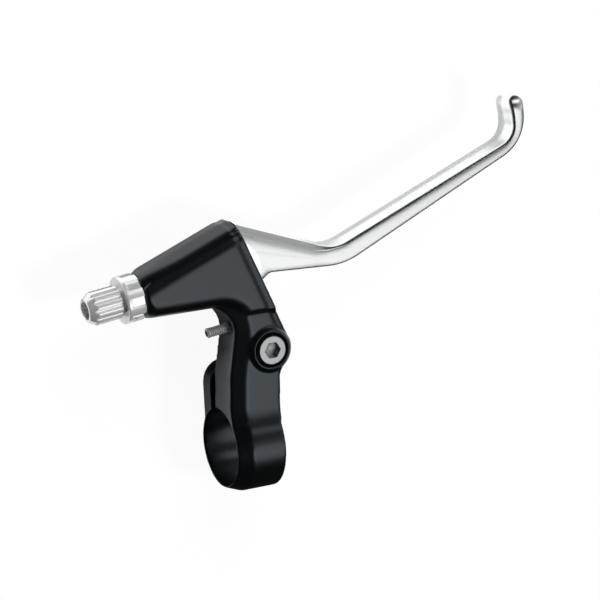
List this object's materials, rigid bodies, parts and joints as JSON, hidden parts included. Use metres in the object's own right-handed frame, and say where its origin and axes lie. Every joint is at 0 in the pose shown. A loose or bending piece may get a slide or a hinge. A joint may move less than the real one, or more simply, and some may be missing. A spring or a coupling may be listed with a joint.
{
  "type": "bicycle brake lever",
  "caption": "Flat-bar brake lever: painted alloy bracket with a hooked bar clamp and cowl, polished finger blade on a pivot bolt, cable adjuster with a lock ring, and a reach screw.",
  "frame": {"origin": "centre of the bar clamp's bore, at the middle of its width", "axes": "+X along the handlebar towards its end, +Y forwards from the bar to the pivot, +Z along the pivot towards the bolt's head"},
  "size_m": [0.1389, 0.1034, 0.0264],
  "materials": {
    "black_paint": "satin black paint on cast alloy",
    "polished_alloy": "polished forged alloy",
    "turned_alloy": "bright turned alloy",
    "zinc_steel": "zinc-plated steel",
    "black_steel": "blackened steel",
    "nylon": "natural nylon"
  },
  "bodies": {
    "bracket": {"bracket": "black_paint", "pivot_bolt": "zinc_steel", "pivot_washer": "zinc_steel", "pivot_nut": "zinc_steel", "clamp_bolt": "zinc_steel", "clamp_washer": "zinc_steel"},
    "lever": {"lever_blade": "polished_alloy", "upper_bush": "nylon", "lower_bush": "nylon"},
    "adjuster": {"barrel_adjuster": "turned_alloy"},
    "lock_ring": {"lock_ring": "turned_alloy"},
    "reach_screw": {"reach_screw": "black_steel"}
  },
  "joints": [
    {"name": "lever_pivot", "type": "hinge", "parent": "bracket", "child": "lever", "pos_m": [0.00545, 0.0286, 0.00415], "axis": [0, 0, -1], "range_deg": [0, 35]},
    {"name": "adjuster_turn", "type": "hinge", "parent": "bracket", "child": "adjuster", "pos_m": [-0.03128, 0.04851, 0.00415], "axis": [0.9934, 0.1149, 0], "continuous": true},
    {"name": "lock_ring_turn", "type": "hinge", "parent": "adjuster", "child": "lock_ring", "pos_m": [-0.03406, 0.04819, 0.00415], "axis": [0.9934, 0.1149, 0], "continuous": true},
    {"name": "reach_screw_turn", "type": "hinge", "parent": "bracket", "child": "reach_screw", "pos_m": [-0.00639, 0.03518, 0.00415], "axis": [0.9934, 0.1149, 0], "continuous": true}
  ]
}
